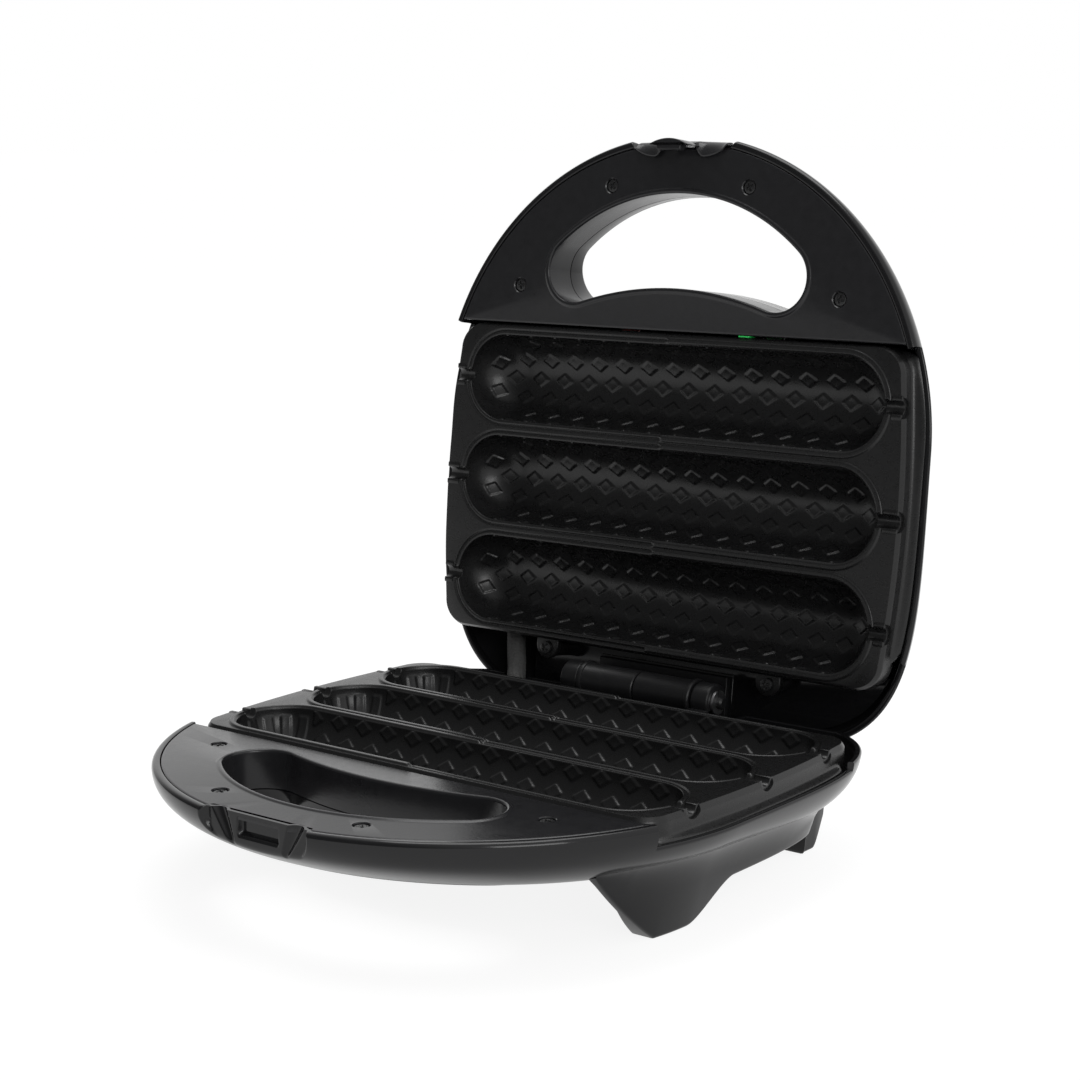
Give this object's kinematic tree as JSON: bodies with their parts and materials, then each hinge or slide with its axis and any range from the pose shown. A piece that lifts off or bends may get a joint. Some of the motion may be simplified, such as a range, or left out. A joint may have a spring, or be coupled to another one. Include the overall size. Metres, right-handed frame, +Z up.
{
  "type": "corn dog maker",
  "caption": "Countertop corn dog maker with a hinged lid: two round-fronted handled shells, cast plates with ribbed half-round cavities and stick channels, and a front latch.",
  "frame": {"origin": "on the table, in the middle of the bounding box of the open appliance", "axes": "+Z up, the handles point to -Y when shut, the hinge axis runs along X, +X to the right of someone who stands at the handles and looks at the hinge"},
  "size_m": [0.2282, 0.2604, 0.2618],
  "materials": {
    "shell": "gloss black phenolic moulding",
    "frame": "satin black moulding",
    "plate": "die cast with a satin black non-stick coat",
    "black_screw": "blackened steel",
    "hinge": "semi-matte black",
    "steel": "plain steel",
    "ceramic": "ceramic white",
    "bush": "black rubber",
    "red_lens": "clear red",
    "green_lens": "clear green",
    "lamp_glass": "clear glass",
    "sleeve": "braided glass fibre"
  },
  "bodies": {
    "base": {"base_shell": "shell", "base_rails": "shell", "base_rear_housing": "shell", "base_rear_wall": "shell", "base_handle_frame": "frame", "base_handle_screws": "black_screw", "lower_plate": "plate", "lower_lug_screws": "black_screw", "lower_heating_element": "steel", "lower_element_saddles": "steel", "lower_heat_shield": "steel", "lower_plate_screws": "steel", "base_hinge_bracket": "hinge", "base_hinge_screws": "black_screw", "thermostat": "ceramic", "thermal_fuse": "steel", "terminal_block": "ceramic", "cord_inlet_bush": "bush", "hinge_pin": "steel", "hinge_pin_clip": "steel", "lead_sleeve": "sleeve"},
    "lid": {"lid_shell": "shell", "lid_handle_frame": "frame", "lid_handle_screws": "black_screw", "upper_plate": "plate", "upper_lug_screws": "black_screw", "upper_heating_element": "steel", "upper_element_saddles": "steel", "upper_heat_shield": "steel", "upper_plate_screws": "steel", "lid_hinge_bracket": "hinge", "lid_hinge_screws": "black_screw", "power_lamp_lens": "red_lens", "ready_lamp_lens": "green_lens", "indicator_lamps": "lamp_glass", "latch_pin": "steel", "latch_spring": "steel"},
    "latch": {"latch": "frame"}
  },
  "joints": [
    {"name": "lid_hinge", "type": "hinge", "parent": "base", "child": "lid", "pos_m": [0, 0.08415, 0.048], "axis": [1, 0, 0], "range_deg": [0, 96.65], "deforming": ["lead_sleeve"]},
    {"name": "latch_pivot", "type": "hinge", "parent": "lid", "child": "latch", "pos_m": [0, 0.11576, 0.25433], "axis": [-1, 0, 0], "range_deg": [0, 18]}
  ]
}
